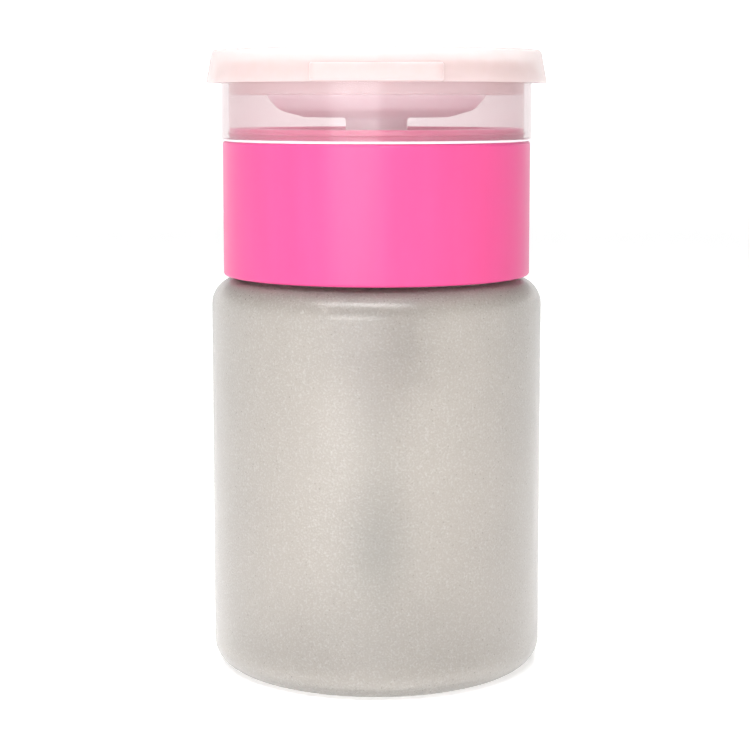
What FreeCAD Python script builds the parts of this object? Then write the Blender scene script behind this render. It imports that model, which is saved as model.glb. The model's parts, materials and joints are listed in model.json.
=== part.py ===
"""Push-down pump bottle: a frosted bottle, a pink double-wall screw collar, a press dish over a
piston pump, and a clear hinged lid on a ring.

Run as a FreeCAD macro. It makes a parametric document, then writes each sub-part to parts/LABEL.step.
Millimetres, +Z up. The origin is the centre of the ring that the bottle stands on, and the lid's hinge
is at +Y.
"""

import FreeCAD, Part
import math
import os
import re

import Sketcher
from FreeCAD import Placement, Rotation, Vector

# -------------------------------------------------------------------------------------------------
# Driving dimensions: alias, value, meaning. Lengths are in millimetres.
# -------------------------------------------------------------------------------------------------
DIMENSIONS = [
    # bottle
    ("body_radius", 21.0, "bottle, outside radius"),
    ("body_wall", 1.1, "bottle, wall"),
    ("base_wall", 1.4, "bottle, floor thickness"),
    ("base_corner", 3.0, "bottle, outside radius of the lower corner"),
    ("base_ring", 2.4, "width of the flat ring that the bottle stands on"),
    ("push_up", 1.6, "height of the hollow under the bottle"),
    ("push_up_slope", 3.0, "width of the sloping edge of that hollow"),
    ("shoulder_height", 49.6, "height of the shoulder, which is flat under the collar"),
    ("shoulder_corner", 3.3, "outside radius of the shoulder"),
    ("neck_radius", 12.55, "neck, radius at the root of the thread"),
    ("neck_wall", 1.75, "neck, wall"),
    ("neck_height", 11.4, "neck, height above the flat"),
    ("neck_lip", 0.5, "rounding of the mouth"),
    # screw thread
    ("thread_pitch", 4.233, "rise in one turn"),
    ("thread_depth", 1.15, "depth of the bottle's thread"),
    ("thread_root", 2.4, "width of a thread at its root"),
    ("thread_crest", 1.3, "width of a thread at its crest"),
    ("thread_start", 2.9, "height of the bottle thread's lower end above the flat"),
    ("thread_turns", 1.25, "turns of the bottle's thread"),
    ("collar_turns", 1.0, "turns of the collar's thread"),
    ("thread_slack", 0.25, "radial play between the two threads"),
    ("thread_overlap", 0.25, "how deep a thread's root reaches into its wall"),
    ("thread_bias", 0.25, "how far the collar's thread sits above the middle of the gap"),
    # collar
    ("collar_radius", 19.48, "collar, outside radius"),
    ("collar_wall", 1.4, "collar, outer wall"),
    ("collar_gap", 0.4, "gap between the collar and the bottle's flat"),
    ("collar_height", 16.9, "collar, height of the outer wall"),
    ("collar_edge", 0.35, "rounding of the collar's outer edges"),
    ("spigot_inset", 0.88, "how far the lid ring's seat is set in"),
    ("spigot_height", 1.6, "height of the seat that holds the lid ring"),
    ("well_radius", 15.0, "well that the dish sinks into"),
    ("well_wall", 1.2, "wall of the well"),
    ("web_thickness", 1.25, "floor of the well, which clamps the pump"),
    ("clamp_play", 0.1, "space between the well's floor and the pump's flange"),
    ("web_bore", 9.0, "radius of the hole in the well's floor"),
    ("deck_thickness", 2.0, "top of the collar"),
    ("skirt_wall", 1.65, "wall of the threaded skirt"),
    ("skirt_lift", 0.6, "how far the threaded skirt ends above the outer wall"),
    ("rib_count", 8.0, "ribs between the collar's two walls"),
    ("rib_width", 1.0, "width of each rib"),
    ("rib_drop", 9.0, "height of each rib"),
    # lid ring and its snap fit
    ("ring_radius", 19.6, "lid ring, outside radius"),
    ("ring_wall", 0.9, "lid ring, wall"),
    ("ring_height", 7.3, "lid ring, height"),
    ("ring_edge", 0.3, "bevel at the lid ring's foot"),
    ("snap_height", 1.0, "height of the snap bead above the collar's shoulder"),
    ("snap_width", 0.4, "width of the snap bead at its root"),
    ("snap_depth", 0.18, "how far the snap bead stands out"),
    ("snap_play", 0.1, "radial play in the snap fit"),
    # lid
    ("lid_height", 4.1, "lid, height of the brim"),
    ("lid_top_radius", 20.74, "lid, outside radius at the top"),
    ("lid_brim_radius", 21.5, "lid, outside radius at the brim's lower edge"),
    ("lid_plate", 1.45, "lid, thickness of the top"),
    ("lid_skirt", 0.95, "lid, wall of the brim"),
    ("lid_edge", 0.6, "rounding of the lid's upper edge"),
    ("plug_play", 0.08, "radial play of the lid's plug in the ring"),
    ("plug_wall", 0.9, "wall of the lid's plug"),
    ("plug_depth", 1.55, "how deep the plug enters the ring"),
    ("seat_bead", 0.7, "height of the bead that rests on the ring"),
    ("seat_play", 0.05, "space under that bead when the lid is shut"),
    ("seat_reach", 0.75, "how far that bead stands out of the plug"),
    ("seal_radius", 2.4, "outside radius of the rim that covers the nozzle"),
    ("seal_wall", 0.8, "wall of that rim"),
    ("seal_gap", 0.2, "space left above the nozzle when the lid is shut"),
    ("tab_width", 15.6, "thumb tab, width"),
    ("tab_height", 2.3, "thumb tab, height"),
    ("tab_corner", 0.9, "rounding of the thumb tab's corners"),
    ("hinge_reach", 22.3, "distance from the axis to the back of the hinge and the front of the thumb tab"),
    ("hinge_width", 12.0, "hinge, width"),
    ("hinge_strap", 0.5, "hinge, thickness of the two straps"),
    ("hinge_film", 0.25, "hinge, thickness where it bends"),
    ("hinge_gap", 0.25, "space between the two lugs"),
    ("hinge_lug", 1.4, "height of each lug"),
    ("hinge_bevel", 0.55, "bevel under the ring's lug"),
    # pump housing
    ("gasket_thickness", 1.0, "washer under the pump's flange"),
    ("gasket_play", 0.05, "space between the washer and the mouth"),
    ("flange_inset", 0.25, "how far the pump housing's flange is set in from the neck's wall"),
    ("flange_thickness", 1.2, "pump housing, flange"),
    ("barrel_radius", 6.2, "pump housing, outside radius of the barrel"),
    ("barrel_wall", 0.9, "pump housing, wall of the barrel"),
    ("barrel_length", 26.4, "pump housing, from the flange's top to the barrel's end"),
    ("chamber_depth", 23.6, "pump housing, from the flange's top to the spring's ledge"),
    ("ledge_bore", 3.0, "radius of the hole in the spring's ledge"),
    ("ledge_depth", 1.4, "height of that hole"),
    ("cone_length", 3.6, "taper between the barrel and the suction tube"),
    ("nipple_share", 0.3, "part of the suction tube's length that a nipple fills at each end"),
    ("passage_radius", 1.2, "way for the oil through nipples and the foot valve"),
    ("vent_radius", 0.4, "hole that lets air into the bottle"),
    # cap on the pump housing
    ("cap_radius", 8.4, "housing cap, flange"),
    ("cap_thickness", 1.0, "housing cap, flange"),
    ("cap_depth", 4.2, "housing cap, how deep it goes into the barrel"),
    ("cup_play", 0.3, "play round and under the hub when the dish is pressed"),
    ("rest_play", 0.05, "space between the seal and the cap when the dish is up"),
    ("guide_play", 0.06, "radial play of the stem in its guide"),
    # plunger
    ("stroke", 4.5, "travel of the press dish"),
    ("stem_radius", 2.4, "stem, outside radius"),
    ("stem_bore", 0.9, "stem, radius of the bore"),
    ("foot_radius", 4.25, "stem, flange under the seal"),
    ("foot_thickness", 0.8, "stem, flange under the seal"),
    ("pilot_radius", 3.05, "stem, spigot that centres the spring"),
    ("pilot_length", 2.2, "stem, spigot that centres the spring"),
    ("stem_bead", 0.3, "stem, how far the bead above the seal stands out"),
    ("stem_bead_height", 0.5, "stem, height of the bead above the seal"),
    ("seal_play", 0.05, "radial play of the piston seal in the barrel"),
    ("seal_length", 3.8, "piston seal, length"),
    ("seal_lip", 0.7, "piston seal, thickness of its lips"),
    ("seal_web", 1.4, "piston seal, height of its middle"),
    # dish
    ("dish_gap", 1.4, "space between the collar's top and the dish at rest"),
    ("dish_flat", 9.2, "radius of the flat under the dish"),
    ("dish_turn_radius", 12.4, "radius where the dish turns up"),
    ("dish_turn_height", 0.9, "height there, above the flat"),
    ("dish_side_radius", 13.8, "radius where the side begins"),
    ("dish_side_height", 2.5, "height there, above the flat"),
    ("dish_rim_radius", 14.9, "outside radius at the rim"),
    ("dish_height", 5.7, "height of the dish above its flat"),
    ("dish_wall", 1.0, "wall of the dish"),
    ("dish_round", 2.2, "rounding of the bends in the dish"),
    ("hub_radius", 3.9, "hub under the dish"),
    ("hub_length", 3.0, "hub under the dish"),
    ("socket_depth", 2.4, "how far the stem goes into the hub"),
    ("boss_radius", 3.0, "boss that holds the nozzle"),
    ("boss_height", 2.7, "boss that holds the nozzle, above the dish's floor"),
    ("boss_bore", 2.1, "bore of the boss"),
    ("boss_passage", 1.2, "way for the oil up to the nozzle"),
    # nozzle cap
    ("nozzle_plug", 1.7, "nozzle cap, length of its plug"),
    ("nozzle_head", 1.3, "nozzle cap, height of its head"),
    ("nozzle_head_radius", 2.6, "nozzle cap, radius of its head"),
    ("nozzle_face_radius", 2.0, "nozzle cap, radius of the face on top"),
    ("nozzle_space", 0.6, "space under the nozzle cap's plug"),
    ("nozzle_pin", 0.5, "nozzle cap, radius of the pin that stops the ball"),
    ("nozzle_hole", 0.35, "nozzle cap, radius of its holes"),
    ("nozzle_hole_circle", 1.35, "nozzle cap, distance of its holes from the axis"),
    ("nozzle_hole_count", 5.0, "nozzle cap, number of holes"),
    # valves
    ("outlet_ball_radius", 1.5, "ball in the stem"),
    ("outlet_pocket_play", 0.25, "radial play round that ball"),
    ("inlet_ball_radius", 2.0, "ball in the foot valve"),
    ("inlet_pocket_play", 0.45, "radial play round that ball"),
    ("ball_lift", 0.7, "lift of each ball"),
    ("ball_rest", 0.02, "space left under a ball on its seat"),
    ("valve_radius", 3.4, "foot valve, outside radius"),
    ("valve_length", 7.4, "foot valve, length of the body"),
    ("valve_roof", 1.1, "foot valve, thickness of its roof"),
    ("valve_seat_depth", 2.4, "foot valve, how far the seat goes in"),
    ("valve_seat_flange", 0.8, "foot valve, flange of the seat"),
    ("valve_seat_land", 0.2, "foot valve, flat edge round the seat"),
    ("valve_stop", 0.5, "width of the bar that stops the inlet ball"),
    # tubes
    ("tube_radius", 3.15, "suction tube, outside radius"),
    ("tube_wall", 0.85, "suction tube, wall"),
    ("intake_radius", 2.3, "intake tube, outside radius"),
    ("intake_length", 6.7, "intake tube, length"),
    ("intake_wall", 0.6, "intake tube, wall"),
    ("intake_nipple", 3.6, "length of the nipple in the intake tube"),
    ("intake_notch", 0.9, "height and half width of the notch at the intake tube's foot"),
    ("floor_gap", 0.7, "space between the intake tube and the bottle's floor"),
    # spring
    ("wire_radius", 0.35, "spring, radius of the wire"),
    ("spring_radius", 3.7, "spring, radius to the middle of the wire"),
    ("spring_turns", 6.0, "spring, turns that work"),
    ("spring_end", 0.8, "spring, rise of the closed turn at each end"),
    ("spring_play", 0.02, "spring, space at each end"),
    # finish
    ("small_edge", 0.2, "rounding of small parts"),
]

# Sizes and places that follow from the driving dimensions, as formulas of them and of each other.
FORMULAS = {
    # bottle
    "neck_bore": "neck_radius - neck_wall",
    "neck_top": "shoulder_height + neck_height",
    "base_ring_outer": "body_radius - base_corner",
    "base_ring_inner": "base_ring_outer - base_ring",
    "push_up_inner": "base_ring_inner - push_up_slope",
    "inner_floor": "push_up + base_wall",
    "inside_radius": "body_radius - body_wall",
    "ceiling": "shoulder_height - body_wall",
    # thread
    "thread_radius": "neck_radius + thread_depth",
    "bottle_thread_z": "shoulder_height + thread_start",
    "skirt_bore": "thread_radius + thread_slack",
    "collar_thread_tip": "neck_radius + thread_slack",
    "collar_thread_z": "bottle_thread_z + thread_pitch / 2 + thread_bias",
    # collar
    "collar_bottom": "shoulder_height + collar_gap",
    "collar_shoulder": "collar_bottom + collar_height",
    "spigot_radius": "collar_radius - spigot_inset",
    "spigot_top": "collar_shoulder + spigot_height",
    "gasket_bottom": "neck_top + gasket_play",
    "flange_bottom": "gasket_bottom + gasket_thickness",
    "flange_top": "flange_bottom + flange_thickness",
    "web_bottom": "flange_top + clamp_play",
    "web_top": "web_bottom + web_thickness",
    "sleeve_bore": "collar_radius - collar_wall",
    "skirt_radius": "skirt_bore + skirt_wall",
    "well_outer": "well_radius + well_wall",
    "well_outer_foot": "web_bottom - (well_outer - skirt_radius)",
    "deck_bottom": "spigot_top - deck_thickness",
    "skirt_bottom": "collar_bottom + skirt_lift",
    "rib_root": "(well_radius + skirt_radius) / 2",
    # lid ring
    "ring_bore": "spigot_radius + snap_play",
    "ring_top": "collar_shoulder + ring_height",
    "snap_z": "collar_shoulder + snap_height",
    # lid
    "lid_top": "ring_top + lid_height",
    "plate_bottom": "lid_top - lid_plate",
    "plug_radius": "ring_bore - plug_play",
    "plug_bore": "plug_radius - plug_wall",
    "plug_bottom": "ring_top - plug_depth",
    "seat_bottom": "ring_top + seat_play",
    "brim_slope": "(lid_brim_radius - lid_top_radius) / lid_height",
    "brim_bore": "lid_brim_radius - lid_skirt",
    "channel_radius": "brim_bore - brim_slope * (plate_bottom - ring_top)",
    "brim_middle": "lid_brim_radius - lid_skirt / 2 - brim_slope * tab_height / 2",
    "hinge_front": "hinge_reach - hinge_strap",
    "hinge_axis_z": "ring_top - hinge_gap / 2",
    "ring_lug_top": "ring_top - hinge_gap",
    # pump housing, from the flange's top down
    "barrel_bore": "barrel_radius - barrel_wall",
    "barrel_end": "flange_top - barrel_length",
    "cone_end": "barrel_end - cone_length",
    "spring_ledge": "flange_top - chamber_depth",
    "tube_bore": "tube_radius - tube_wall",
    "flange_radius": "neck_radius - flange_inset",
    "nipple_length": "nipple_share * (cone_end - valve_top)",
    "nipple_end": "cone_end - nipple_length",
    "funnel_top": "spring_ledge - ledge_depth",
    "funnel_end": "funnel_top - (ledge_bore - passage_radius)",
    "cap_top": "flange_top + cap_thickness",
    "cap_end": "flange_top - cap_depth",
    "guide_radius": "stem_radius + guide_play",
    # dish and plunger
    "dish_bottom": "spigot_top + dish_gap",
    "dish_floor": "dish_bottom + dish_wall",
    "dish_top": "dish_bottom + dish_height",
    "hub_bottom": "dish_bottom - hub_length",
    "cup_radius": "hub_radius + cup_play",
    "cup_floor": "hub_bottom - stroke - cup_play",
    "seal_top": "cap_end - rest_play",
    "seal_bottom": "seal_top - seal_length",
    "seal_radius_out": "barrel_bore - seal_play",
    "lip_bore": "seal_radius_out - seal_lip",
    "seal_web_bottom": "seal_bottom + (seal_length - seal_web) / 2",
    "seal_web_top": "seal_web_bottom + seal_web",
    "foot_bottom": "seal_web_bottom - foot_thickness",
    "pilot_bottom": "foot_bottom - pilot_length",
    "stem_top": "hub_bottom + socket_depth",
    "vent_z": "seal_bottom + seal_length / 2",
    "outlet_pocket": "outlet_ball_radius + outlet_pocket_play",
    "boss_top": "dish_floor + boss_height",
    "nozzle_bottom": "boss_top - nozzle_plug",
    "boss_bore_bottom": "nozzle_bottom - nozzle_space",
    "nozzle_top": "boss_top + nozzle_head",
    "outlet_seat": "stem_top - outlet_ball_radius * 2",
    # the centre of a ball on a 45-degree seat is root 2 radii, less the bore, above the seat's lower edge
    "outlet_ball_z": "outlet_seat + outlet_ball_radius * sqrt(2) - stem_bore + ball_rest",
    "pin_end": "outlet_ball_z + outlet_ball_radius + ball_lift + ball_rest",
    "inlet_pocket": "inlet_ball_radius + inlet_pocket_play",
    "seat_mouth": "inlet_pocket - valve_seat_land",
    "inlet_ball_z": "inlet_seat + inlet_ball_radius * sqrt(2) - passage_radius + ball_rest",
    # foot valve and tubes
    "intake_bottom": "inner_floor + floor_gap",
    "intake_top": "intake_bottom + intake_length",
    "intake_nipple_end": "intake_top - intake_nipple",
    "valve_bottom": "intake_top + valve_seat_flange",
    "valve_top": "valve_bottom + valve_length",
    "valve_nipple_top": "valve_top + nipple_length",
    "valve_roof_bottom": "valve_top - valve_roof",
    "seat_top": "valve_bottom + valve_seat_depth",
    "inlet_seat": "seat_top - (seat_mouth - passage_radius)",
    "stop_bottom": "inlet_ball_z + inlet_ball_radius + ball_lift + ball_rest",
    "intake_bore": "intake_radius - intake_wall",
    # spring
    "spring_bottom": "spring_ledge + wire_radius + spring_play",
    "spring_rise": "foot_bottom - spring_ledge - 2 * (wire_radius + spring_play) - 2 * spring_end",
    "spring_body_z": "spring_bottom + spring_end",
    "spring_top_z": "spring_body_z + spring_rise",
}

# -------------------------------------------------------------------------------------------------
# The document, its spreadsheet and the small tools that build from them
# -------------------------------------------------------------------------------------------------
doc = FreeCAD.newDocument("PumpBottle")
sheet = doc.addObject("Spreadsheet::Sheet", "Dims")
for row, (alias, value, meaning) in enumerate(DIMENSIONS, start=1):
    sheet.set(f"A{row}", alias)
    sheet.set(f"B{row}", str(value))
    sheet.set(f"C{row}", meaning)
    sheet.setAlias(f"B{row}", alias)
doc.recompute()

ALIASES = {alias for alias, _, _ in DIMENSIONS}
WORD = re.compile(r"[a-z_]+")
NEAR = 1e-3  # two places closer than this are the same, mm
TINY = 1e-6  # a smaller change of volume is none, mm3
PARTS = []
VOLUMES = {}


def formula(text):
    """A FreeCAD expression: formula names are replaced by their formulas, and aliases by their cells."""

    def swap(match):
        word = match.group(0)
        if word in ALIASES:
            return f"Dims.{word}"
        if word in FORMULAS:
            return f"({formula(FORMULAS[word])})"
        return word

    return WORD.sub(swap, text)


def value_of(text):
    """The number that a formula stands for."""
    return float(sheet.evalExpression(formula(text)))


def bind(target, prop, text):
    """Ties a property to a formula."""
    target.setExpression(prop, formula(text))


def new_body(label):
    """A PartDesign body whose label names its file."""
    body = doc.addObject("PartDesign::Body", label)
    body.Label = label
    body.Placement = Placement(Vector(0, 0, 0), Rotation())
    PARTS.append(body)
    return body


def datum(body, role):
    """One of the body's own planes or axes."""
    return next(f for f in body.Origin.OriginFeatures if f.Role == role)


def new_sketch(body, name, role, height=None):
    """A sketch on one of the body's own planes, lifted along that plane's normal by a formula."""
    sketch = body.newObject("Sketcher::SketchObject", f"{body.Name}_{name}")
    sketch.AttachmentSupport = [(datum(body, role), "")]
    sketch.MapMode = "FlatFace"
    if height:
        bind(sketch, "AttachmentOffset.Base.z", height)
    return sketch


def fix_point(sketch, geometry, point, horizontal, vertical):
    """Dimensions one end of a line, or a circle's centre, from the sketch's origin."""
    for axis, kind, text in ((-2, "DistanceX", horizontal), (-1, "DistanceY", vertical)):
        if text == "0":
            sketch.addConstraint(Sketcher.Constraint("PointOnObject", geometry, point, axis))
            continue
        number = sketch.addConstraint(Sketcher.Constraint(kind, -1, 1, geometry, point, value_of(text)))
        bind(sketch, f"Constraints[{number}]", text)


def draw_outline(sketch, corners):
    """A closed outline of straight lines through corners, each a pair of formulas."""
    points = [Vector(value_of(a), value_of(b), 0) for a, b in corners]
    count = len(points)
    for i in range(count):
        sketch.addGeometry(Part.LineSegment(points[i], points[(i + 1) % count]), False)
    for i in range(count):
        sketch.addConstraint(Sketcher.Constraint("Coincident", i, 2, (i + 1) % count, 1))
    for i, (a, b) in enumerate(corners):
        fix_point(sketch, i, 1, a, b)


def draw_circle(sketch, centre, radius):
    middle = Vector(value_of(centre[0]), value_of(centre[1]), 0)
    number = sketch.addGeometry(Part.Circle(middle, Vector(0, 0, 1), value_of(radius)), False)
    fix_point(sketch, number, 3, *centre)
    size = sketch.addConstraint(Sketcher.Constraint("Radius", number, value_of(radius)))
    bind(sketch, f"Constraints[{size}]", radius)


def checked(body, feature, grows):
    """Recomputes, and stops unless the feature left the solid larger, or smaller, as it should."""
    before = VOLUMES.get(body.Name, 0.0)
    doc.recompute()
    volume = body.Shape.Volume
    change = volume - before if grows else before - volume
    if change <= TINY:
        raise RuntimeError(f"{feature.Name} did nothing: {before:.3f} to {volume:.3f} mm3")
    VOLUMES[body.Name] = volume
    return feature


def turned(body, corners, name="turned"):
    """Revolves an outline of (radius, height) corners about the axis."""
    sketch = new_sketch(body, f"{name}_outline", "XZ_Plane")
    draw_outline(sketch, corners)
    feature = body.newObject("PartDesign::Revolution", f"{body.Name}_{name}")
    feature.Profile = sketch
    feature.ReferenceAxis = (sketch, ["V_Axis"])
    feature.Angle = 360.0
    return checked(body, feature, True)


def raised(body, name, sketch, length, midplane=False, reversed_=False):
    """Pads a sketch."""
    feature = body.newObject("PartDesign::Pad", f"{body.Name}_{name}")
    feature.Profile = sketch
    feature.Midplane = midplane
    feature.Reversed = reversed_
    bind(feature, "Length", length)
    return checked(body, feature, True)


def cut_away(body, name, sketch, length, midplane=False, reversed_=False):
    """Pockets a sketch."""
    feature = body.newObject("PartDesign::Pocket", f"{body.Name}_{name}")
    feature.Profile = sketch
    feature.Midplane = midplane
    feature.Reversed = reversed_
    bind(feature, "Length", length)
    return checked(body, feature, False)


def around(body, name, feature, count, grows):
    """Repeats a feature evenly round the axis."""
    pattern = body.newObject("PartDesign::PolarPattern", f"{body.Name}_{name}")
    pattern.Originals = [feature]
    pattern.Axis = (datum(body, "Z_Axis"), [""])
    pattern.Angle = 360.0
    bind(pattern, "Occurrences", count)
    body.Tip = pattern
    return checked(body, pattern, grows)


def coiled(body, name, sketch, pitch, height):
    """Sweeps a sketch along a right-hand helix about the axis."""
    feature = body.newObject("PartDesign::AdditiveHelix", f"{body.Name}_{name}")
    feature.Profile = sketch
    feature.ReferenceAxis = (sketch, ["V_Axis"])
    feature.Mode = 0
    bind(feature, "Pitch", pitch)
    bind(feature, "Height", height)
    feature.LeftHanded = False
    feature.Reversed = False
    return checked(body, feature, True)


def threaded(body, wall, inside, tip, middle, turns):
    """A thread of trapezium section on a wall, whose root starts a little inside it, at radius inside."""
    sketch = new_sketch(body, "thread_outline", "XZ_Plane")
    draw_outline(
        sketch,
        [
            (inside, f"{middle} - thread_root / 2"),
            (wall, f"{middle} - thread_root / 2"),
            (tip, f"{middle} - thread_crest / 2"),
            (tip, f"{middle} + thread_crest / 2"),
            (wall, f"{middle} + thread_root / 2"),
            (inside, f"{middle} + thread_root / 2"),
        ],
    )
    return coiled(body, "thread", sketch, "thread_pitch", f"thread_pitch * {turns}")


def ring_edges(shape, places):
    """Names of the full-circle edges about the axis at these (radius, height) places."""
    wanted = [(value_of(r), value_of(z)) for r, z in places]
    names = []
    for number, edge in enumerate(shape.Edges, start=1):
        curve = edge.Curve
        if not isinstance(curve, Part.Circle) or abs(edge.Length - 2 * math.pi * curve.Radius) > NEAR:
            continue
        at = (curve.Radius, curve.Center.z)
        if any(math.hypot(at[0] - r, at[1] - z) < NEAR for r, z in wanted):
            names.append(f"Edge{number}")
    if len(names) != len(wanted):
        raise RuntimeError(f"found {len(names)} edges at {wanted}")
    return names


def straight_edges(shape, test):
    """Names of the straight edges whose middle passes a test."""
    names = []
    for number, edge in enumerate(shape.Edges, start=1):
        if not isinstance(edge.Curve, Part.Line):
            continue
        if test(edge.CenterOfMass, edge.tangentAt(edge.FirstParameter)):
            names.append(f"Edge{number}")
    return names


def dressed(body, kind, name, edges, size):
    """Fillets or chamfers named edges of the body's tip."""
    base = body.Tip
    feature = body.newObject(f"PartDesign::{kind}", f"{body.Name}_{name}")
    feature.Base = (base, edges)
    bind(feature, "Radius" if kind == "Fillet" else "Size", size)
    doc.recompute()
    if not feature.Shape.isValid() or not feature.isValid():
        raise RuntimeError(f"{feature.Name} failed")
    VOLUMES[body.Name] = body.Shape.Volume
    return feature


def rounded(body, name, places, size):
    """Fillets round edges at these (radius, height) places."""
    return dressed(body, "Fillet", name, ring_edges(body.Shape, places), size)


def draw_box(sketch, x_low, x_high, y_low, y_high):
    draw_outline(sketch, [(x_low, y_low), (x_high, y_low), (x_high, y_high), (x_low, y_high)])


def draw_lug(sketch, root_radius, half_width, reach):
    """A lug's outline: straight sides, a straight end at y = reach and an arc about the axis at its root."""
    wide = value_of(half_width)
    far = value_of(reach)
    root = value_of(root_radius)
    rise = math.copysign(math.sqrt(root**2 - wide**2), far)
    corners = [Vector(x, y, 0) for x, y in ((wide, rise), (wide, far), (-wide, far), (-wide, rise))]
    for a, b in zip(corners, corners[1:]):
        sketch.addGeometry(Part.LineSegment(a, b), False)
    slant = math.acos(wide / root)
    start, end = (slant, math.pi - slant) if far > 0 else (math.pi + slant, 2 * math.pi - slant)
    circle = Part.Circle(Vector(0, 0, 0), Vector(0, 0, 1), root)
    arc = sketch.addGeometry(Part.ArcOfCircle(circle, start, end), False)
    right, left = (1, 2) if far > 0 else (2, 1)
    for joined in ((0, 2, 1, 1), (1, 2, 2, 1), (2, 2, arc, left), (arc, right, 0, 1)):
        sketch.addConstraint(Sketcher.Constraint("Coincident", *joined))
    sketch.addConstraint(Sketcher.Constraint("Vertical", 0))
    sketch.addConstraint(Sketcher.Constraint("Vertical", 2))
    sketch.addConstraint(Sketcher.Constraint("Coincident", arc, 3, -1, 1))
    size = sketch.addConstraint(Sketcher.Constraint("Radius", arc, root))
    bind(sketch, f"Constraints[{size}]", root_radius)
    fix_point(sketch, 1, 1, half_width, reach)
    fix_point(sketch, 1, 2, f"-({half_width})", reach)


# -------------------------------------------------------------------------------------------------
# Bottle
# -------------------------------------------------------------------------------------------------
def make_bottle():
    """Blow-moulded bottle: a straight body with a hollow base, a rounded shoulder and a threaded neck."""
    body = new_body("bottle")
    turned(
        body,
        [
            ("0", "push_up"),
            ("push_up_inner", "push_up"),
            ("base_ring_inner", "0"),
            ("body_radius", "0"),
            ("body_radius", "shoulder_height"),
            ("neck_radius", "shoulder_height"),
            ("neck_radius", "neck_top"),
            ("neck_bore", "neck_top"),
            ("neck_bore", "ceiling"),
            ("inside_radius", "ceiling"),
            ("inside_radius", "base_wall"),
            ("base_ring_inner", "base_wall"),
            ("push_up_inner", "inner_floor"),
            ("0", "inner_floor"),
        ],
    )
    rounded(body, "base_round", [("body_radius", "0")], "base_corner")
    rounded(body, "shoulder_round", [("body_radius", "shoulder_height")], "shoulder_corner")
    rounded(body, "inner_base_round", [("inside_radius", "base_wall")], "base_corner - body_wall")
    rounded(body, "inner_shoulder_round", [("inside_radius", "ceiling")], "shoulder_corner - body_wall")
    rounded(
        body,
        "push_up_round",
        [("push_up_inner", "push_up"), ("push_up_inner", "inner_floor")],
        "base_wall",
    )
    rounded(body, "mouth_round", [("neck_radius", "neck_top"), ("neck_bore", "neck_top")], "neck_lip")
    rounded(body, "throat_round", [("neck_bore", "ceiling")], "neck_lip * 2")
    threaded(
        body,
        "neck_radius",
        "neck_radius - thread_overlap",
        "thread_radius",
        "bottle_thread_z",
        "thread_turns",
    )


# -------------------------------------------------------------------------------------------------
# Collar, lid ring, hinge and lid
# -------------------------------------------------------------------------------------------------
def make_collar():
    """Double-wall screw collar with a threaded skirt, a well for the dish and a seat for the lid ring."""
    body = new_body("screw_collar")
    turned(
        body,
        [
            ("collar_radius", "collar_bottom"),
            ("collar_radius", "collar_shoulder"),
            ("spigot_radius", "collar_shoulder"),
            ("spigot_radius", "snap_z - snap_width / 2"),
            ("spigot_radius + snap_depth", "snap_z"),
            ("spigot_radius", "snap_z + snap_width / 2"),
            ("spigot_radius", "spigot_top"),
            ("well_radius", "spigot_top"),
            ("well_radius", "web_top"),
            ("web_bore", "web_top"),
            ("web_bore", "web_bottom"),
            ("skirt_bore", "web_bottom"),
            ("skirt_bore", "skirt_bottom"),
            ("skirt_radius", "skirt_bottom"),
            ("skirt_radius", "well_outer_foot"),
            ("well_outer", "web_bottom"),
            ("well_outer", "deck_bottom"),
            ("sleeve_bore", "deck_bottom"),
            ("sleeve_bore", "collar_bottom"),
        ],
    )
    rounded(body, "upper_edge", [("collar_radius", "collar_shoulder")], "collar_edge")
    rounded(body, "lower_edge", [("collar_radius", "collar_bottom")], "collar_edge")
    rounded(body, "well_edges", [("well_radius", "spigot_top"), ("web_bore", "web_top")], "collar_edge")
    rounded(body, "well_corner", [("well_radius", "web_top")], "collar_edge * 2")
    # ribs between the two walls, hanging from the deck
    rib = new_sketch(body, "rib_outline", "XY_Plane", "deck_bottom - rib_drop")
    draw_box(rib, "rib_root", "sleeve_bore + collar_wall / 2", "-rib_width / 2", "rib_width / 2")
    first = raised(body, "rib", rib, "rib_drop")
    around(body, "ribs", first, "rib_count", True)
    threaded(
        body,
        "skirt_bore",
        "skirt_bore + thread_overlap",
        "collar_thread_tip",
        "collar_thread_z",
        "collar_turns",
    )


def make_lid_ring():
    """Clear ring snapped over the collar's seat. It carries the lid on a lug at the back."""
    body = new_body("lid_ring")
    turned(
        body,
        [
            ("ring_radius - ring_edge", "collar_shoulder"),
            ("ring_radius", "collar_shoulder + ring_edge"),
            ("ring_radius", "ring_top"),
            ("ring_bore", "ring_top"),
            ("ring_bore", "snap_z + snap_width"),
            ("ring_bore + snap_depth", "snap_z + snap_play / 2"),
            ("ring_bore + snap_depth", "snap_z - snap_play / 2"),
            ("ring_bore", "snap_z - snap_width"),
            ("ring_bore", "collar_shoulder"),
        ],
    )
    lug = new_sketch(body, "lug_outline", "XY_Plane", "ring_lug_top - hinge_lug")
    draw_lug(lug, "ring_radius - ring_wall / 2", "hinge_width / 2", "hinge_front")
    raised(body, "lug", lug, "hinge_lug")
    low = value_of("ring_lug_top - hinge_lug")
    back = value_of("hinge_front")
    under = straight_edges(body.Shape, lambda p, t: abs(p.z - low) < NEAR and abs(p.y - back) < NEAR)
    dressed(body, "Chamfer", "lug_bevel", under, "hinge_bevel")


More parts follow.
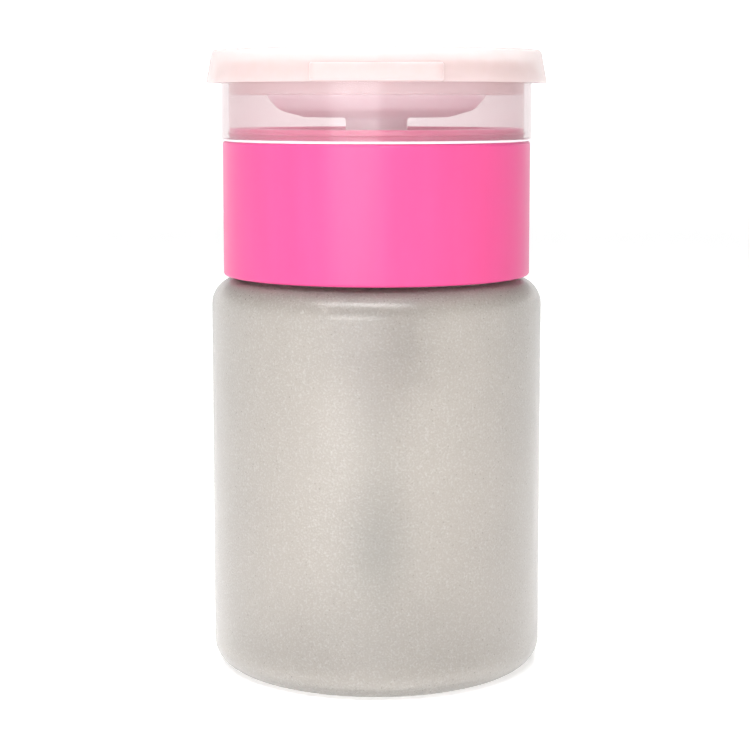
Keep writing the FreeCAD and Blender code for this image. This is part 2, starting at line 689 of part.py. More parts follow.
def make_flip_lid():
    """Clear lid with an overhanging brim, a plug that enters the ring and a thumb tab in front."""
    body = new_body("flip_lid")
    turned(
        body,
        [
            ("0", "lid_top"),
            ("lid_top_radius", "lid_top"),
            ("lid_brim_radius", "ring_top"),
            ("brim_bore", "ring_top"),
            ("channel_radius", "plate_bottom"),
            ("plug_radius", "plate_bottom"),
            ("plug_radius", "seat_bottom + seat_bead"),
            ("plug_radius + seat_reach", "seat_bottom + seat_bead"),
            ("plug_radius + seat_reach", "seat_bottom"),
            ("plug_radius", "seat_bottom"),
            ("plug_radius", "plug_bottom"),
            ("plug_bore", "plug_bottom"),
            ("plug_bore", "plate_bottom"),
            ("seal_radius", "plate_bottom"),
            ("seal_radius", "nozzle_top + seal_gap"),
            ("seal_radius - seal_wall", "nozzle_top + seal_gap"),
            ("seal_radius - seal_wall", "plate_bottom"),
            ("0", "plate_bottom"),
        ],
    )
    rounded(body, "upper_edge", [("lid_top_radius", "lid_top")], "lid_edge")
    rounded(body, "plug_edge", [("plug_radius", "plug_bottom")], "plug_wall * 0.4")
    # a lug for the hinge at the back and a thumb tab in front, both rooted inside the brim's wall
    lug = new_sketch(body, "lug_outline", "XY_Plane", "ring_top")
    draw_lug(lug, "brim_middle", "hinge_width / 2", "hinge_front")
    raised(body, "lug", lug, "hinge_lug")
    tab = new_sketch(body, "tab_outline", "XY_Plane", "ring_top")
    draw_lug(tab, "brim_middle", "tab_width / 2", "-hinge_reach")
    raised(body, "tab", tab, "tab_height")
    front = value_of("-hinge_reach")
    upright = straight_edges(body.Shape, lambda p, t: abs(p.y - front) < NEAR and abs(t.z) > 0.5)
    dressed(body, "Fillet", "tab_corners", upright, "tab_corner")
    level = straight_edges(body.Shape, lambda p, t: abs(p.y - front) < NEAR and abs(t.x) > 0.5)
    dressed(body, "Fillet", "tab_edges", level, "tab_corner / 2")


def make_living_hinge():
    """Moulded film hinge between the ring's lug and the lid's lug, drawn shut."""
    body = new_body("living_hinge")
    sketch = new_sketch(body, "strap_outline", "YZ_Plane")
    draw_outline(
        sketch,
        [
            ("hinge_front", "ring_lug_top - hinge_lug * 0.6"),
            ("hinge_reach", "ring_lug_top - hinge_lug * 0.6"),
            ("hinge_reach", "ring_top + hinge_lug"),
            ("hinge_front", "ring_top + hinge_lug"),
            ("hinge_front", "ring_top"),
            ("hinge_reach - hinge_film", "hinge_axis_z + hinge_film / 4"),
            ("hinge_reach - hinge_film", "hinge_axis_z - hinge_film / 4"),
            ("hinge_front", "ring_lug_top"),
        ],
    )
    raised(body, "strap", sketch, "hinge_width", midplane=True)


# -------------------------------------------------------------------------------------------------
# Dish, nozzle cap, stem and seal
# -------------------------------------------------------------------------------------------------
def make_press_dish():
    """Round dish that a cotton pad is pressed on. A hub holds the stem and a boss holds the nozzle cap."""
    body = new_body("press_dish")
    turned(
        body,
        [
            ("stem_radius", "hub_bottom"),
            ("hub_radius", "hub_bottom"),
            ("hub_radius", "dish_bottom"),
            ("dish_flat", "dish_bottom"),
            ("dish_turn_radius", "dish_bottom + dish_turn_height"),
            ("dish_side_radius", "dish_bottom + dish_side_height"),
            ("dish_rim_radius", "dish_top"),
            ("dish_rim_radius - dish_wall", "dish_top"),
            ("dish_side_radius - dish_wall", "dish_bottom + dish_side_height + dish_wall / 2"),
            ("dish_turn_radius - dish_wall / 2", "dish_bottom + dish_turn_height + dish_wall"),
            ("dish_flat", "dish_floor"),
            ("boss_radius", "dish_floor"),
            ("boss_radius", "boss_top"),
            ("boss_bore", "boss_top"),
            ("boss_bore", "boss_bore_bottom"),
            ("boss_passage", "boss_bore_bottom"),
            ("boss_passage", "stem_top"),
            ("stem_radius", "stem_top"),
        ],
    )
    rounded(
        body,
        "outer_bends",
        [
            ("dish_turn_radius", "dish_bottom + dish_turn_height"),
            ("dish_side_radius", "dish_bottom + dish_side_height"),
        ],
        "dish_round",
    )
    rounded(
        body,
        "inner_bends",
        [
            ("dish_side_radius - dish_wall", "dish_bottom + dish_side_height + dish_wall / 2"),
            ("dish_turn_radius - dish_wall / 2", "dish_bottom + dish_turn_height + dish_wall"),
        ],
        "dish_round / 2",
    )
    rounded(
        body,
        "rim_round",
        [("dish_rim_radius", "dish_top"), ("dish_rim_radius - dish_wall", "dish_top")],
        "dish_wall * 0.4",
    )
    rounded(
        body,
        "boss_round",
        [("boss_radius", "dish_floor"), ("hub_radius", "dish_bottom")],
        "dish_wall / 2",
    )


def make_nozzle_cap():
    """Small cap pressed into the boss. Oil comes out of its holes, and its pin stops the outlet ball."""
    body = new_body("nozzle_cap")
    turned(
        body,
        [
            ("0", "pin_end"),
            ("nozzle_pin", "pin_end"),
            ("nozzle_pin", "nozzle_bottom"),
            ("boss_bore", "nozzle_bottom"),
            ("boss_bore", "boss_top"),
            ("nozzle_head_radius", "boss_top"),
            ("nozzle_face_radius", "nozzle_top"),
            ("0", "nozzle_top"),
        ],
    )
    hole = new_sketch(body, "hole_outline", "XY_Plane", "nozzle_bottom")
    draw_circle(hole, ("nozzle_hole_circle", "0"), "nozzle_hole")
    first = cut_away(body, "hole", hole, "nozzle_plug + nozzle_head", reversed_=True)
    around(body, "holes", first, "nozzle_hole_count", False)
    rounded(body, "face_round", [("nozzle_face_radius", "nozzle_top")], "small_edge")


def make_pump_stem():
    """Hollow stem from the dish down to the piston, with the outlet valve's seat in its upper end."""
    body = new_body("pump_stem")
    turned(
        body,
        [
            ("stem_bore", "pilot_bottom"),
            ("pilot_radius", "pilot_bottom"),
            ("pilot_radius", "foot_bottom"),
            ("foot_radius", "foot_bottom"),
            ("foot_radius", "seal_web_bottom"),
            ("stem_radius", "seal_web_bottom"),
            ("stem_radius", "seal_web_top"),
            ("stem_radius + stem_bead", "seal_web_top"),
            ("stem_radius", "seal_web_top + stem_bead_height"),
            ("stem_radius", "stem_top"),
            ("outlet_pocket", "stem_top"),
            ("outlet_pocket", "outlet_seat + outlet_pocket - stem_bore"),
            ("stem_bore", "outlet_seat"),
        ],
    )
    rounded(body, "pilot_round", [("pilot_radius", "pilot_bottom")], "pilot_length / 4")


def make_piston_seal():
    """Soft seal with two lips that slides in the barrel, gripped between the stem's bead and its foot."""
    body = new_body("piston_seal")
    turned(
        body,
        [
            ("stem_radius", "seal_web_bottom"),
            ("lip_bore", "seal_web_bottom"),
            ("lip_bore", "seal_bottom"),
            ("seal_radius_out", "seal_bottom"),
            ("seal_radius_out", "seal_top"),
            ("lip_bore", "seal_top"),
            ("lip_bore", "seal_web_top"),
            ("stem_radius", "seal_web_top"),
        ],
    )
    rounded(
        body,
        "lip_round",
        [("seal_radius_out", "seal_bottom"), ("seal_radius_out", "seal_top")],
        "seal_lip / 3",
    )


# -------------------------------------------------------------------------------------------------
# Pump housing and what is fixed in it
# -------------------------------------------------------------------------------------------------
def make_gasket():
    """Soft washer between the bottle's mouth and the pump's flange."""
    body = new_body("neck_gasket")
    turned(
        body,
        [
            ("barrel_radius", "gasket_bottom"),
            ("flange_radius", "gasket_bottom"),
            ("flange_radius", "flange_bottom"),
            ("barrel_radius", "flange_bottom"),
        ],
    )


def make_pump_housing():
    """Barrel that hangs in the neck from a flange and tapers to a nipple for the suction tube."""
    body = new_body("pump_housing")
    turned(
        body,
        [
            ("barrel_bore", "flange_top"),
            ("flange_radius", "flange_top"),
            ("flange_radius", "flange_bottom"),
            ("barrel_radius", "flange_bottom"),
            ("barrel_radius", "barrel_end"),
            ("tube_radius", "cone_end"),
            ("tube_bore", "cone_end"),
            ("tube_bore", "nipple_end"),
            ("passage_radius", "nipple_end"),
            ("passage_radius", "funnel_end"),
            ("ledge_bore", "funnel_top"),
            ("ledge_bore", "spring_ledge"),
            ("barrel_bore", "spring_ledge"),
        ],
    )
    rounded(body, "barrel_round", [("barrel_radius", "barrel_end")], "barrel_wall")
    vent = new_sketch(body, "vent_outline", "YZ_Plane")
    draw_circle(vent, ("0", "vent_z"), "vent_radius")
    cut_away(body, "vent", vent, "barrel_radius * 1.1", reversed_=True)


def make_housing_cap():
    """Plug that closes the barrel, guides the stem and gives the hub room to sink."""
    body = new_body("housing_cap")
    turned(
        body,
        [
            ("cap_radius", "flange_top"),
            ("cap_radius", "cap_top"),
            ("cup_radius", "cap_top"),
            ("cup_radius", "cup_floor"),
            ("guide_radius", "cup_floor"),
            ("guide_radius", "cap_end"),
            ("barrel_bore", "cap_end"),
            ("barrel_bore", "flange_top"),
        ],
    )
    rounded(body, "edge_round", [("cap_radius", "cap_top")], "cap_thickness * 0.4")


def make_return_spring():
    """Compression spring with one closed turn at each end."""
    body = new_body("return_spring")
    sections = [
        ("lower", "spring_bottom", "spring_end", "spring_end"),
        ("middle", "spring_body_z", "spring_rise / spring_turns", "spring_rise"),
        ("upper", "spring_top_z", "spring_end", "spring_end"),
    ]
    for name, start, pitch, height in sections:
        sketch = new_sketch(body, f"{name}_outline", "XZ_Plane")
        draw_circle(sketch, ("spring_radius", start), "wire_radius")
        coiled(body, name, sketch, pitch, height)


def make_suction_tube():
    """Stiff tube between the housing and the foot valve."""
    body = new_body("suction_tube")
    turned(
        body,
        [
            ("tube_bore", "valve_top"),
            ("tube_radius", "valve_top"),
            ("tube_radius", "cone_end"),
            ("tube_bore", "cone_end"),
        ],
    )


def make_foot_valve():
    """Chamber of the inlet ball, with a nipple above and a bar that stops the ball."""
    body = new_body("foot_valve")
    turned(
        body,
        [
            ("inlet_pocket", "valve_bottom"),
            ("valve_radius", "valve_bottom"),
            ("valve_radius", "valve_top"),
            ("tube_bore", "valve_top"),
            ("tube_bore", "valve_nipple_top"),
            ("passage_radius", "valve_nipple_top"),
            ("passage_radius", "valve_roof_bottom"),
            ("inlet_pocket", "valve_roof_bottom"),
        ],
    )
    rounded(body, "top_round", [("valve_radius", "valve_top")], "small_edge")
    bar = new_sketch(body, "bar_outline", "XY_Plane", "stop_bottom")
    draw_box(bar, "-(inlet_pocket * 1.05)", "inlet_pocket * 1.05", "-valve_stop / 2", "valve_stop / 2")
    raised(body, "bar", bar, "valve_roof_bottom - stop_bottom")


def make_valve_seat():
    """Seat of the inlet ball, pressed into the foot valve, with a nipple for the intake tube."""
    body = new_body("valve_seat")
    turned(
        body,
        [
            ("passage_radius", "intake_nipple_end"),
            ("intake_bore", "intake_nipple_end"),
            ("intake_bore", "intake_top"),
            ("valve_radius", "intake_top"),
            ("valve_radius", "valve_bottom"),
            ("inlet_pocket", "valve_bottom"),
            ("inlet_pocket", "seat_top"),
            ("seat_mouth", "seat_top"),
            ("passage_radius", "inlet_seat"),
        ],
    )
    rounded(body, "flange_round", [("valve_radius", "intake_top")], "small_edge")


def make_intake_tube():
    """Short tube down to the floor of the bottle, notched so that it cannot be blocked."""
    body = new_body("intake_tube")
    turned(
        body,
        [
            ("intake_bore", "intake_bottom"),
            ("intake_radius", "intake_bottom"),
            ("intake_radius", "intake_top"),
            ("intake_bore", "intake_top"),
        ],
    )
    notch = new_sketch(body, "notch_outline", "XZ_Plane")
    draw_outline(
        notch,
        [
            ("-intake_notch", "intake_bottom"),
            ("intake_notch", "intake_bottom"),
            ("0", "intake_bottom + intake_notch"),
        ],
    )
    cut_away(body, "notch", notch, "intake_radius * 2.1", midplane=True)


def make_ball(label, radius, height):
    """A valve ball on the axis."""
    ball = doc.addObject("Part::Sphere", label)
    ball.Label = label
    bind(ball, "Radius", radius)
    bind(ball, "Placement.Base.z", height)
    doc.recompute()
    PARTS.append(ball)


def write_parts():
    """Stops on any broken object, then writes each sub-part."""
    doc.recompute()
    for item in doc.Objects:
        if {"Invalid", "Error"} & set(item.State):
            raise RuntimeError(f"{item.Name} is in state {item.State}")
    os.makedirs("parts", exist_ok=True)
    for part in PARTS:
        shape = part.Shape
        if shape.isNull() or not shape.isValid() or len(shape.Solids) != 1:
            raise RuntimeError(f"{part.Label} is not one sound solid")
        shape.exportStep(f"parts/{part.Label}.step")
        print(f"{part.Label}: {shape.Volume:.2f} mm3")


make_bottle()
make_collar()
make_lid_ring()
make_living_hinge()
make_flip_lid()
make_press_dish()
make_nozzle_cap()
make_pump_stem()
make_piston_seal()
make_gasket()
make_pump_housing()
make_housing_cap()
make_return_spring()
make_suction_tube()
make_foot_valve()
make_valve_seat()
make_intake_tube()
make_ball("inlet_ball", "inlet_ball_radius", "inlet_ball_z")
make_ball("outlet_ball", "outlet_ball_radius", "outlet_ball_z")
write_parts()
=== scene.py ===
"""Looks of the push-down pump bottle: frosted body, pink collar, clear ring and flip lid, and the pump."""

import json
import math

import bpy
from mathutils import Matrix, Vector


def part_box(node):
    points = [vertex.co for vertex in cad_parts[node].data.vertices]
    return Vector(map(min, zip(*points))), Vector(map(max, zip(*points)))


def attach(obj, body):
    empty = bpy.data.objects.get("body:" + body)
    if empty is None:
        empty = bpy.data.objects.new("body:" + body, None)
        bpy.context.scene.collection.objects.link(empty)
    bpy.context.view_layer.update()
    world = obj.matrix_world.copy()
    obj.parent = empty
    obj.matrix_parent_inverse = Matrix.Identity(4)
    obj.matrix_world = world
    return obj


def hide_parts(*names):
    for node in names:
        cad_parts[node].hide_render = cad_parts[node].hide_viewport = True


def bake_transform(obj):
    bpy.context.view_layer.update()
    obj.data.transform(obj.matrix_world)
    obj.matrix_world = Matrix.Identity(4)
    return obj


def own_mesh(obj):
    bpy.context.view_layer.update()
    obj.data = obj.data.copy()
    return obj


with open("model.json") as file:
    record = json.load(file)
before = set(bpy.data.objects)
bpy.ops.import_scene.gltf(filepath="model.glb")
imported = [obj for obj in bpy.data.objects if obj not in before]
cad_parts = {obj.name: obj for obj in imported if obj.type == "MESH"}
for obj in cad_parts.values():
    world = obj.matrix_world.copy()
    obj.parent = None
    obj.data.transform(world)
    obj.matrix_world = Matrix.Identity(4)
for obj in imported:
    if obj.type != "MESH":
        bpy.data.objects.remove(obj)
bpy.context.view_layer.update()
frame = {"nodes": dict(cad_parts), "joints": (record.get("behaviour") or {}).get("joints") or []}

MM = 0.001
MIDDLE = (0.1, 0.9)  # where all but the ends of a noise lie
UNIT = (0, 1)
MIX_FIRST, MIX_SECOND, MIX_RESULT = 6, 7, 2  # the colour sockets of a Mix node


def joint_named(name):
    return next(joint for joint in frame["joints"] if joint["name"] == name)


# -----------------------------------------------------------------------------
# Materials
# -----------------------------------------------------------------------------
def srgb(*screen):
    """Linear colour of 8-bit screen values."""
    shares = [v / 255 for v in screen]
    return [s / 12.92 if s <= 0.04045 else ((s + 0.055) / 1.055) ** 2.4 for s in shares]


class Nodes:
    """Short ways to build a material's node tree."""

    def __init__(self, name):
        self.material = bpy.data.materials.new(name)
        self.material.use_nodes = True
        self.tree = self.material.node_tree
        self.tree.nodes.clear()
        self.output = self.add("ShaderNodeOutputMaterial")
        self.shader = self.add("ShaderNodeBsdfPrincipled")
        self.link(self.shader.outputs["BSDF"], self.output.inputs["Surface"])
        self.place = self.add("ShaderNodeTexCoord").outputs["Object"]

    def add(self, kind, **settings):
        """A new node with its settings."""
        node = self.tree.nodes.new(kind)
        for key, value in settings.items():
            setattr(node, key, value)
        return node

    def link(self, out, into):
        self.tree.links.new(out, into)

    def feed(self, out, socket):
        """Links an output to a socket of the shader, in place of what was linked there."""
        self.link(out, self.shader.inputs[socket])

    def fed(self, socket):
        """The output that feeds a socket of the shader."""
        return self.shader.inputs[socket].links[0].from_socket

    def set(self, **values):
        """Sets sockets of the shader to plain values."""
        for key, value in values.items():
            self.shader.inputs[key.replace("_", " ")].default_value = value

    def stretched(self, x, y, z):
        """Object coordinates scaled along each axis."""
        node = self.add("ShaderNodeMapping")
        self.link(self.place, node.inputs["Vector"])
        node.inputs["Scale"].default_value = (x, y, z)
        return node.outputs["Vector"]

    def height(self):
        """Height in the frame, in metres."""
        node = self.add("ShaderNodeSeparateXYZ")
        self.link(self.place, node.inputs["Vector"])
        return node.outputs["Z"]

    def noise(self, scale, detail=2.0, roughness=0.5, vector=None):
        """Noise of so many lumps a metre."""
        node = self.add("ShaderNodeTexNoise")
        self.link(vector or self.place, node.inputs["Vector"])
        node.inputs["Scale"].default_value = scale
        node.inputs["Detail"].default_value = detail
        node.inputs["Roughness"].default_value = roughness
        return node.outputs["Fac"]

    def remap(self, value, from_range, to_range):
        """Takes one range to another and stops at its ends."""
        node = self.add("ShaderNodeMapRange")
        self.link(value, node.inputs["Value"])
        node.inputs["From Min"].default_value, node.inputs["From Max"].default_value = from_range
        node.inputs["To Min"].default_value, node.inputs["To Max"].default_value = to_range
        return node.outputs["Result"]

    def combined(self, operation, first, second):
        """Two values multiplied, or the larger of them, as the operation says."""
        node = self.add("ShaderNodeMath", operation=operation)
        self.link(first, node.inputs[0])
        self.link(second, node.inputs[1])
        return node.outputs[0]

    def mixed(self, factor, first, second):
        """Goes from the first colour to the second; the first may be a socket."""
        node = self.add("ShaderNodeMix", data_type="RGBA")
        self.link(factor, node.inputs["Factor"])
        if isinstance(first, bpy.types.NodeSocket):
            self.link(first, node.inputs[MIX_FIRST])
        else:
            node.inputs[MIX_FIRST].default_value = (*first, 1)
        node.inputs[MIX_SECOND].default_value = (*second, 1)
        return node.outputs[MIX_RESULT]

    def bump(self, height, strength, distance):
        node = self.add("ShaderNodeBump")
        self.link(height, node.inputs["Height"])
        node.inputs["Strength"].default_value = strength
        node.inputs["Distance"].default_value = distance
        return node.outputs["Normal"]


def frosted_plastic():
    """Blow-moulded bottle with a fine etched grain, whose peaks are painted paler as a painted sparkle of
    glints.
    """
    n = Nodes("frosted_plastic")
    peaks = (0.5, 0.75)
    grain = n.noise(4200, 3, 0.6)
    cloud = n.remap(n.noise(90, 3), MIDDLE, UNIT)
    pale = n.mixed(cloud, srgb(214, 208, 201), srgb(222, 216, 209))
    # Painted sparkle: the grain's peaks are painted near-white, standing in for glints of light.
    n.feed(n.mixed(n.remap(grain, peaks, UNIT), pale, srgb(255, 253, 250)), "Base Color")
    n.feed(n.remap(grain, MIDDLE, (0.22, 0.42)), "Roughness")
    n.feed(n.bump(grain, 0.8, 0.1 * MM), "Normal")
    n.set(IOR=1.45, Transmission_Weight=0.8, Coat_Weight=0.55, Coat_Roughness=0.24)
    return n.material


def pink_plastic():
    """Smooth injection-moulded collar with faint flow streaks."""
    n = Nodes("pink_plastic")
    streaks = n.noise(260, 3, 0.5, n.stretched(1, 1, 0.12))
    cloud = n.noise(60, 2)
    n.feed(n.mixed(n.remap(streaks, MIDDLE, UNIT), srgb(212, 74, 132), srgb(217, 82, 140)), "Base Color")
    n.feed(n.remap(cloud, MIDDLE, (0.24, 0.34)), "Roughness")
    n.feed(n.bump(streaks, 0.1, 0.08 * MM), "Normal")
    n.set(IOR=1.47, Specular_IOR_Level=0.2, Subsurface_Weight=0.2, Subsurface_Scale=1.5 * MM)
    n.set(Subsurface_Radius=(1.0, 0.35, 0.5))
    return n.material


def clear_plastic(name, light, dark, roughness, cover, rim_cover):
    """Thin clear or milky moulding with a faint ripple.

    Like glass, a face hides little of what is behind it where it is seen square on, which is cover,
    and more where the way through its wall is long, which is rim_cover. Returns the nodes, so that a
    piece can add to them.
    """
    n = Nodes(name)
    ripple = n.noise(200, 2)
    haze = n.noise(900, 2)
    turned = n.add("ShaderNodeLayerWeight")
    turned.inputs["Blend"].default_value = 0.3
    n.feed(n.mixed(n.remap(haze, MIDDLE, UNIT), srgb(*dark), srgb(*light)), "Base Color")
    n.feed(n.remap(haze, MIDDLE, (roughness, roughness + 0.08)), "Roughness")
    n.feed(n.bump(ripple, 0.2, 0.12 * MM), "Normal")
    n.feed(n.remap(turned.outputs["Facing"], UNIT, (cover, rim_cover)), "Alpha")
    n.set(IOR=1.45)
    return n


def lid_plastic(name):
    """Milky at the brim and clearer in the flat top, with light spreading inside it."""
    n = clear_plastic(name, (226, 207, 207), (222, 204, 200), 0.3, 0.36, 0.62)
    normal = n.add("ShaderNodeSeparateXYZ")
    n.link(n.add("ShaderNodeTexCoord").outputs["Normal"], normal.inputs["Vector"])
    level = n.add("ShaderNodeMath", operation="ABSOLUTE")
    n.link(normal.outputs["Z"], level.inputs[0])
    sloping_to_flat, cover_kept = (0.7, 0.95), (1.0, 0.5)
    share = n.remap(level.outputs[0], sloping_to_flat, cover_kept)
    n.feed(n.combined("MULTIPLY", n.fed("Alpha"), share), "Alpha")
    n.set(Subsurface_Weight=0.7, Subsurface_Scale=2 * MM, Subsurface_Radius=(1.0, 0.9, 0.88))
    return n.material


def ring_plastic():
    """Clear ring whose bevelled foot is painted white, a painted highlight where its edge catches the
    light.
    """
    # The grey-rose tint is darker than the clear ring's own colour: partly painted shade of the shadowed
    # well seen through it.
    n = clear_plastic("clear_ring", (210, 176, 180), (200, 164, 170), 0.08, 0.19, 0.45)
    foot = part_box("lid_ring")[0].z
    fade_from, fade_to = foot + 0.2 * MM, foot + 0.4 * MM
    # Painted highlight: a thin band at the foot is painted white and opaque, where the bevelled edge
    # catches the light.
    foot_highlight = n.remap(n.height(), (fade_from, fade_to), (1.0, 0.0))
    n.feed(n.mixed(foot_highlight, n.fed("Base Color"), srgb(255, 240, 246)), "Base Color")
    n.feed(n.combined("MAXIMUM", n.fed("Alpha"), foot_highlight), "Alpha")
    return n.material


def tube_plastic(name):
    """Natural polyethylene tube."""
    return clear_plastic(name, (226, 224, 216), (214, 212, 204), 0.25, 0.3, 0.5).material


def pump_plastic(name, light, dark, roughness, translucency=0.2, depth=1.5 * MM):
    """Unpolished moulded plastic of the pump's parts."""
    n = Nodes(name)
    cloud = n.noise(180, 3)
    fine = n.noise(2200, 2)
    n.feed(n.mixed(n.remap(cloud, MIDDLE, UNIT), srgb(*dark), srgb(*light)), "Base Color")
    n.feed(n.remap(fine, MIDDLE, (roughness, roughness + 0.14)), "Roughness")
    n.feed(n.bump(fine, 0.25, 0.04 * MM), "Normal")
    n.set(IOR=1.47, Subsurface_Weight=translucency, Subsurface_Scale=depth)
    n.set(Subsurface_Radius=(1.0, 0.9, 0.92))
    return n.material


def steel(name, roughness):
    """Drawn or polished steel, as the roughness makes it."""
    n = Nodes(name)
    fine = n.noise(1800, 3)
    n.feed(n.mixed(n.remap(fine, MIDDLE, UNIT), srgb(168, 168, 172), srgb(198, 198, 200)), "Base Color")
    n.feed(n.remap(fine, MIDDLE, (roughness, roughness + 0.12)), "Roughness")
    n.feed(n.bump(fine, 0.1, 0.02 * MM), "Normal")
    n.set(Metallic=1.0)
    return n.material


def floor_paint():
    """White paint that gives off a little light, so that the floor is blank."""
    n = Nodes("floor_paint")
    n.feed(n.mixed(n.noise(30), srgb(250, 250, 250), srgb(253, 253, 253)), "Base Color")
    n.set(Roughness=0.8, Emission_Color=(1, 1, 1, 1), Emission_Strength=0.5)
    return n.material


finishes = {
    "bottle": frosted_plastic(),
    "screw_collar": pink_plastic(),
    "lid_ring": ring_plastic(),
    "flip_lid": lid_plastic("milky_lid"),
    "press_dish": pump_plastic("dish_plastic", (255, 240, 245), (253, 234, 240), 0.28, 0.9, 3 * MM),
    "nozzle_cap": pump_plastic("nozzle_plastic", (254, 248, 246), (248, 240, 240), 0.28),
    "pump_stem": pump_plastic("stem_plastic", (246, 242, 238), (238, 234, 230), 0.35),
    "piston_seal": pump_plastic("seal_plastic", (228, 228, 222), (216, 216, 210), 0.45),
    "neck_gasket": pump_plastic("gasket_foam", (236, 234, 228), (224, 222, 216), 0.6),
    "pump_housing": pump_plastic("housing_plastic", (150, 130, 120), (136, 116, 106), 0.4),
    "housing_cap": pump_plastic("cap_plastic", (230, 226, 222), (218, 214, 210), 0.4),
    "suction_tube": tube_plastic("tube_plastic"),
    "foot_valve": pump_plastic("valve_plastic", (52, 68, 40), (42, 58, 30), 0.4),
    "valve_seat": pump_plastic("seat_plastic", (120, 134, 106), (108, 122, 94), 0.4),
    "intake_tube": tube_plastic("intake_plastic"),
    "inlet_ball": steel("inlet_steel", 0.06),
    "outlet_ball": steel("outlet_steel", 0.07),
}
for node, finish in finishes.items():
    shown = frame["nodes"][node]
    shown.data.materials.clear()
    shown.data.materials.append(finish)


# -----------------------------------------------------------------------------
# Return spring and film hinge
# -----------------------------------------------------------------------------
def walls(rings, count):
    """Quads between rings of points, where each ring holds count points."""
    faces = []
    for i in range(rings - 1):
        for j in range(count):
            k = (j + 1) % count
            faces.append((i * count + j, i * count + k, (i + 1) * count + k, (i + 1) * count + j))
    return faces


def swept(name, sections, material):
    """A closed tube of quads through sections, each a ring of as many points, with flat ends."""
    count = len(sections[0])
    points = [point for section in sections for point in section]
    faces = walls(len(sections), count)
    faces.append(tuple(reversed(range(count))))
    faces.append(tuple(range(len(points) - count, len(points))))
    mesh = bpy.data.meshes.new(name)
    mesh.from_pydata(points, [], faces)
    mesh.validate()
    mesh.materials.append(material)
    piece = bpy.data.objects.new(name, mesh)
    bpy.context.collection.objects.link(piece)
    return piece


def make_spring():
    """Compression spring of round wire."""
    low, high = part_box("return_spring")
    wire = 0.35 * MM  # the wire's own radius
    radius = high.x - wire
    closed_rise, closed_turns, open_turns = 0.8 * MM, 1.0, 6.0
    steps_per_turn, sides = 40, 12
    bottom, top = low.z + wire, high.z - wire
    turns = open_turns + 2 * closed_turns

    def height_at(turn):
        """Height of the wire's middle: slow in the closed turn at each end, and even between them."""
        if turn <= closed_turns:
            return bottom + closed_rise * turn / closed_turns
        if turn >= turns - closed_turns:
            return top - closed_rise * (turns - turn) / closed_turns
        share = (turn - closed_turns) / open_turns
        return bottom + closed_rise + share * (top - bottom - 2 * closed_rise)

    sections = []
    for i in range(int(turns * steps_per_turn) + 1):
        turn = i / steps_per_turn
        angle = 2 * math.pi * turn
        outward = Vector((math.cos(angle), math.sin(angle), 0))
        centre = outward * radius + Vector((0, 0, height_at(turn)))
        section = []
        for j in range(sides):
            around = 2 * math.pi * j / sides
            section.append(centre + wire * (outward * math.cos(around) + Vector((0, 0, math.sin(around)))))
        sections.append(section)
    spring = swept("coil_spring", sections, steel("spring_wire", 0.22))
    spring.data.shade_smooth()
    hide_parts("return_spring")
    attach(spring, "pump_unit")
    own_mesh(spring)


def make_hinge():
    """Film hinge: a strap that thins to a rounded film where the lid bends back."""
    low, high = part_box("living_hinge")
    _, axis_y, axis_z = joint_named("lid_flip")["pos_m"]
    film = 0.1 * MM  # from the axis to the film's inner face
    soft, reach = 0.06 * MM, 0.13 * MM  # half of the notch's flat bottom, and the height of each flank
    edge = 0.08 * MM  # how far the two end faces are drawn in
    rows, columns = 60, 24

    def inner_face(z):
        """Where the strap's inner face lies, a notch with a rounded bottom about the axis."""
        away = max(0.0, abs(z - axis_z) - soft) / reach
        share = min(1.0, away)
        return axis_y - film - (axis_y - film - low.y) * share * share * (3 - 2 * share)

    half = (high.x - low.x) / 2
    heights = [low.z + (high.z - low.z) * k / rows for k in range(rows + 1)]
    sections = []
    for i in range(columns + 1):
        x = -half + 2 * half * i / columns
        inset = edge if i in (0, columns) else 0.0
        outer = [Vector((x, high.y - inset, z)) for z in heights]
        inner = [Vector((x, inner_face(z) + inset, z)) for z in reversed(heights)]
        sections.append(outer + inner)
    hinge = swept("film_hinge", sections, lid_plastic("hinge_plastic"))
    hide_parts("living_hinge")
    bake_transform(hinge)


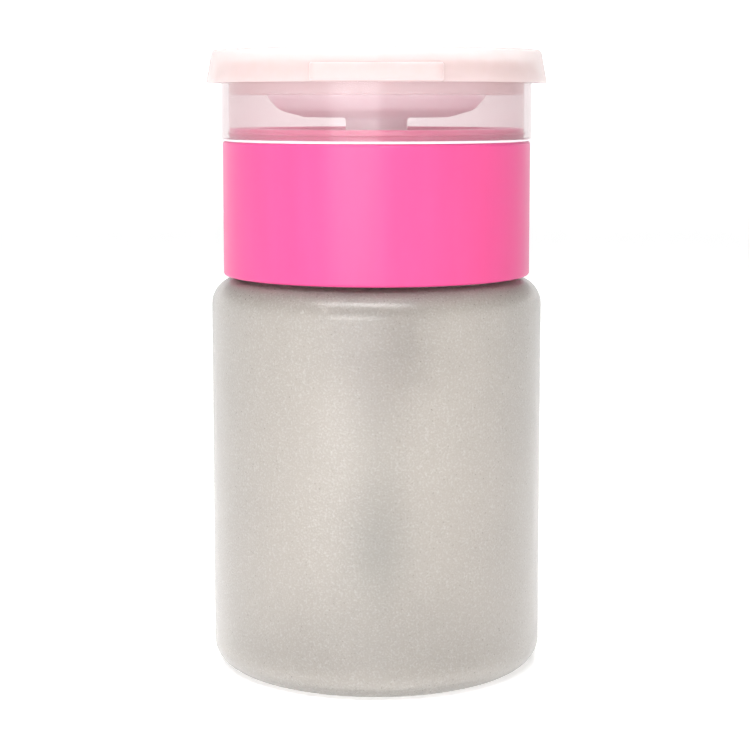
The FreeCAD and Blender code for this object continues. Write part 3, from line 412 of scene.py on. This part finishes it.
# -----------------------------------------------------------------------------
# Floor, light and camera
# -----------------------------------------------------------------------------
def make_floor():
    """A round white floor that curves up into a low wall all round."""
    flat, bend, top = 1.05, 0.2, 0.35  # radius of the flat, radius of the curve, height of the wall
    steps, sides = 12, 96
    outline = [(flat, 0.0)]
    for i in range(1, steps + 1):
        angle = math.pi / 2 * i / steps
        outline.append((flat + bend * math.sin(angle), bend - bend * math.cos(angle)))
    outline.append((flat + bend, top))
    turns = [2 * math.pi * j / sides for j in range(sides)]
    points = [(r * math.cos(a), r * math.sin(a), z) for r, z in outline for a in turns]
    inward = [tuple(reversed(face)) for face in walls(len(outline), sides)]
    mesh = bpy.data.meshes.new("floor")
    mesh.from_pydata(points, [], [tuple(range(sides)), *inward])
    mesh.shade_smooth()
    floor = bpy.data.objects.new("floor", mesh)
    bpy.context.collection.objects.link(floor)
    mesh.materials.append(floor_paint())


def area_light(name, place, target, width, height, power):
    """A rectangular panel of so many watts, turned to face its target."""
    light = bpy.data.lights.new(name, "AREA")
    light.shape = "RECTANGLE"
    light.size, light.size_y = width, height
    light.energy = power
    lamp = bpy.data.objects.new(name, light)
    lamp.location = place
    lamp.rotation_euler = (Vector(target) - Vector(place)).to_track_quat("-Z", "Y").to_euler()
    bpy.context.collection.objects.link(lamp)


def make_light():
    """A soft studio: dim white surroundings, two lights above, two panels in front and one behind."""
    world = bpy.data.worlds.new("studio")
    world.use_nodes = True
    surroundings = world.node_tree.nodes["Background"]
    surroundings.inputs["Color"].default_value = (1, 1, 1, 1)
    surroundings.inputs["Strength"].default_value = 0.12
    bpy.context.scene.world = world
    middle, lid_height = (0, 0, 0.045), (0, 0, 0.07)
    area_light("overhead_strip", (-0.08, -0.36, 0.655), middle, 0.6, 0.15, 4.4)
    area_light("ceiling", (0.0, 0.05, 0.7), middle, 0.3, 0.3, 1.6)
    area_light("front_panel", (-0.17, -0.88, 0.24), middle, 0.6, 0.44, 0.7)
    area_light("low_panel", (-0.19, -0.69, 0.08), lid_height, 0.45, 0.12, 1.8)
    area_light("left_back_panel", (-0.24, 0.29, 0.08), middle, 0.26, 0.4, 0.05)


def make_camera():
    """Close, at the height of the lid ring, looking slightly down."""
    distance, eye_height, pitch = 0.24697, 0.0721, math.radians(6.26)
    data = bpy.data.cameras.new("camera")
    data.sensor_width = 36.0
    data.lens = 92.95
    data.shift_x = -0.002
    data.shift_y = -0.084
    camera = bpy.data.objects.new("camera", data)
    camera.location = (0, -distance, eye_height)
    camera.rotation_euler = (math.pi / 2 - pitch, 0, 0)
    bpy.context.collection.objects.link(camera)
    bpy.context.scene.camera = camera


make_spring()
make_hinge()
make_floor()
make_light()
make_camera()
bpy.context.scene.view_settings.view_transform = "Standard"
